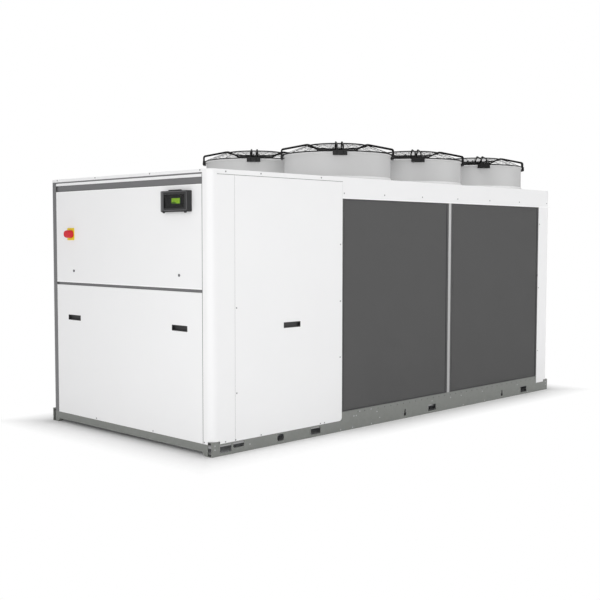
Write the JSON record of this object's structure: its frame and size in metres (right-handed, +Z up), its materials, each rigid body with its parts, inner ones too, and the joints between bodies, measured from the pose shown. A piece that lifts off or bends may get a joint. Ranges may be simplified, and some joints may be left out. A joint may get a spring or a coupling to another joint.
{
  "type": "modular chiller",
  "caption": "Air-cooled modular chiller: panelled plant section, finned coils along both sides and guarded axial fans on the roof, on a channel base.",
  "frame": {"origin": "centre of the bounding box, on the ground", "axes": "+Z up; +X along the length, away from the control end; the front long side faces -Y"},
  "size_m": [4.8516, 2.203, 2.5027],
  "materials": {
    "white_paint": "smooth powder coat",
    "dark_grey_paint": "smooth powder coat",
    "base_grey": "powder coat on galvanised steel",
    "galvanised": "zinc-coated sheet",
    "coil_fins": "dark coated fins",
    "bare_aluminium": "mill finish",
    "bell_grey": "moulded light grey",
    "black_wire": "black coated wire",
    "rotor_grey": "moulded dark grey",
    "black_plastic": "fine grain",
    "yellow_plastic": "moulded",
    "red_plastic": "moulded",
    "screen": "lit display in a dark bezel",
    "smoked_window": "smoked clear plastic",
    "zinc": "dark quarter-turn lock"
  },
  "bodies": {
    "housing": {"side_rail_front": "base_grey", "side_rail_rear": "base_grey", "end_rails": "base_grey", "cross_members": "galvanised", "floor_pan": "galvanised", "plant_posts": "white_paint", "coil_posts": "white_paint", "end_panel_lower": "white_paint", "end_panel_upper": "white_paint", "far_panels": "white_paint", "end_crossbars": "dark_grey_paint", "side_panels": "white_paint", "flush_handles": "black_plastic", "panel_locks": "zinc", "partition_wall": "galvanised", "roof_cover": "white_paint", "coil_aprons": "base_grey", "coils": "coil_fins", "coil_dividers": "bare_aluminium", "header_bands": "white_paint", "fan_deck": "white_paint", "switch_plate": "yellow_plastic", "display_box": "black_plastic", "display_screen": "screen", "fan_bell_1": "bell_grey", "fan_bell_2": "bell_grey", "fan_bell_3": "bell_grey", "fan_bell_4": "bell_grey", "fan_bell_5": "bell_grey", "fan_bell_6": "bell_grey", "fan_guard_1": "black_wire", "fan_guard_2": "black_wire", "fan_guard_3": "black_wire", "fan_guard_4": "black_wire", "fan_guard_5": "black_wire", "fan_guard_6": "black_wire"},
    "fan_rotor_1": {"fan_rotor_1": "rotor_grey"},
    "fan_rotor_2": {"fan_rotor_2": "rotor_grey"},
    "fan_rotor_3": {"fan_rotor_3": "rotor_grey"},
    "fan_rotor_4": {"fan_rotor_4": "rotor_grey"},
    "fan_rotor_5": {"fan_rotor_5": "rotor_grey"},
    "fan_rotor_6": {"fan_rotor_6": "rotor_grey"},
    "switch_knob": {"switch_handle": "red_plastic"},
    "display_door": {"display_cover": "black_plastic", "display_window": "smoked_window"}
  },
  "joints": [
    {"name": "fan_spin_1", "type": "hinge", "parent": "housing", "child": "fan_rotor_1", "pos_m": [-0.38975, -0.55, 2.4337], "axis": [0, 0, 1], "continuous": true},
    {"name": "fan_spin_2", "type": "hinge", "parent": "housing", "child": "fan_rotor_2", "pos_m": [0.70425, -0.55, 2.4337], "axis": [0, 0, 1], "continuous": true},
    {"name": "fan_spin_3", "type": "hinge", "parent": "housing", "child": "fan_rotor_3", "pos_m": [1.79825, -0.55, 2.4337], "axis": [0, 0, 1], "continuous": true},
    {"name": "fan_spin_4", "type": "hinge", "parent": "housing", "child": "fan_rotor_4", "pos_m": [-0.38975, 0.55, 2.4337], "axis": [0, 0, 1], "continuous": true},
    {"name": "fan_spin_5", "type": "hinge", "parent": "housing", "child": "fan_rotor_5", "pos_m": [0.70425, 0.55, 2.4337], "axis": [0, 0, 1], "continuous": true},
    {"name": "fan_spin_6", "type": "hinge", "parent": "housing", "child": "fan_rotor_6", "pos_m": [1.79825, 0.55, 2.4337], "axis": [0, 0, 1], "continuous": true},
    {"name": "switch_turn", "type": "hinge", "parent": "housing", "child": "switch_knob", "pos_m": [-2.37975, 0.77, 1.676], "axis": [-1, 0, 0], "range_deg": [0, 90]},
    {"name": "display_door_hinge", "type": "hinge", "parent": "housing", "child": "display_door", "pos_m": [-2.408, -0.723, 2.0055], "axis": [0, 1, 0], "range_deg": [0, 100]}
  ]
}
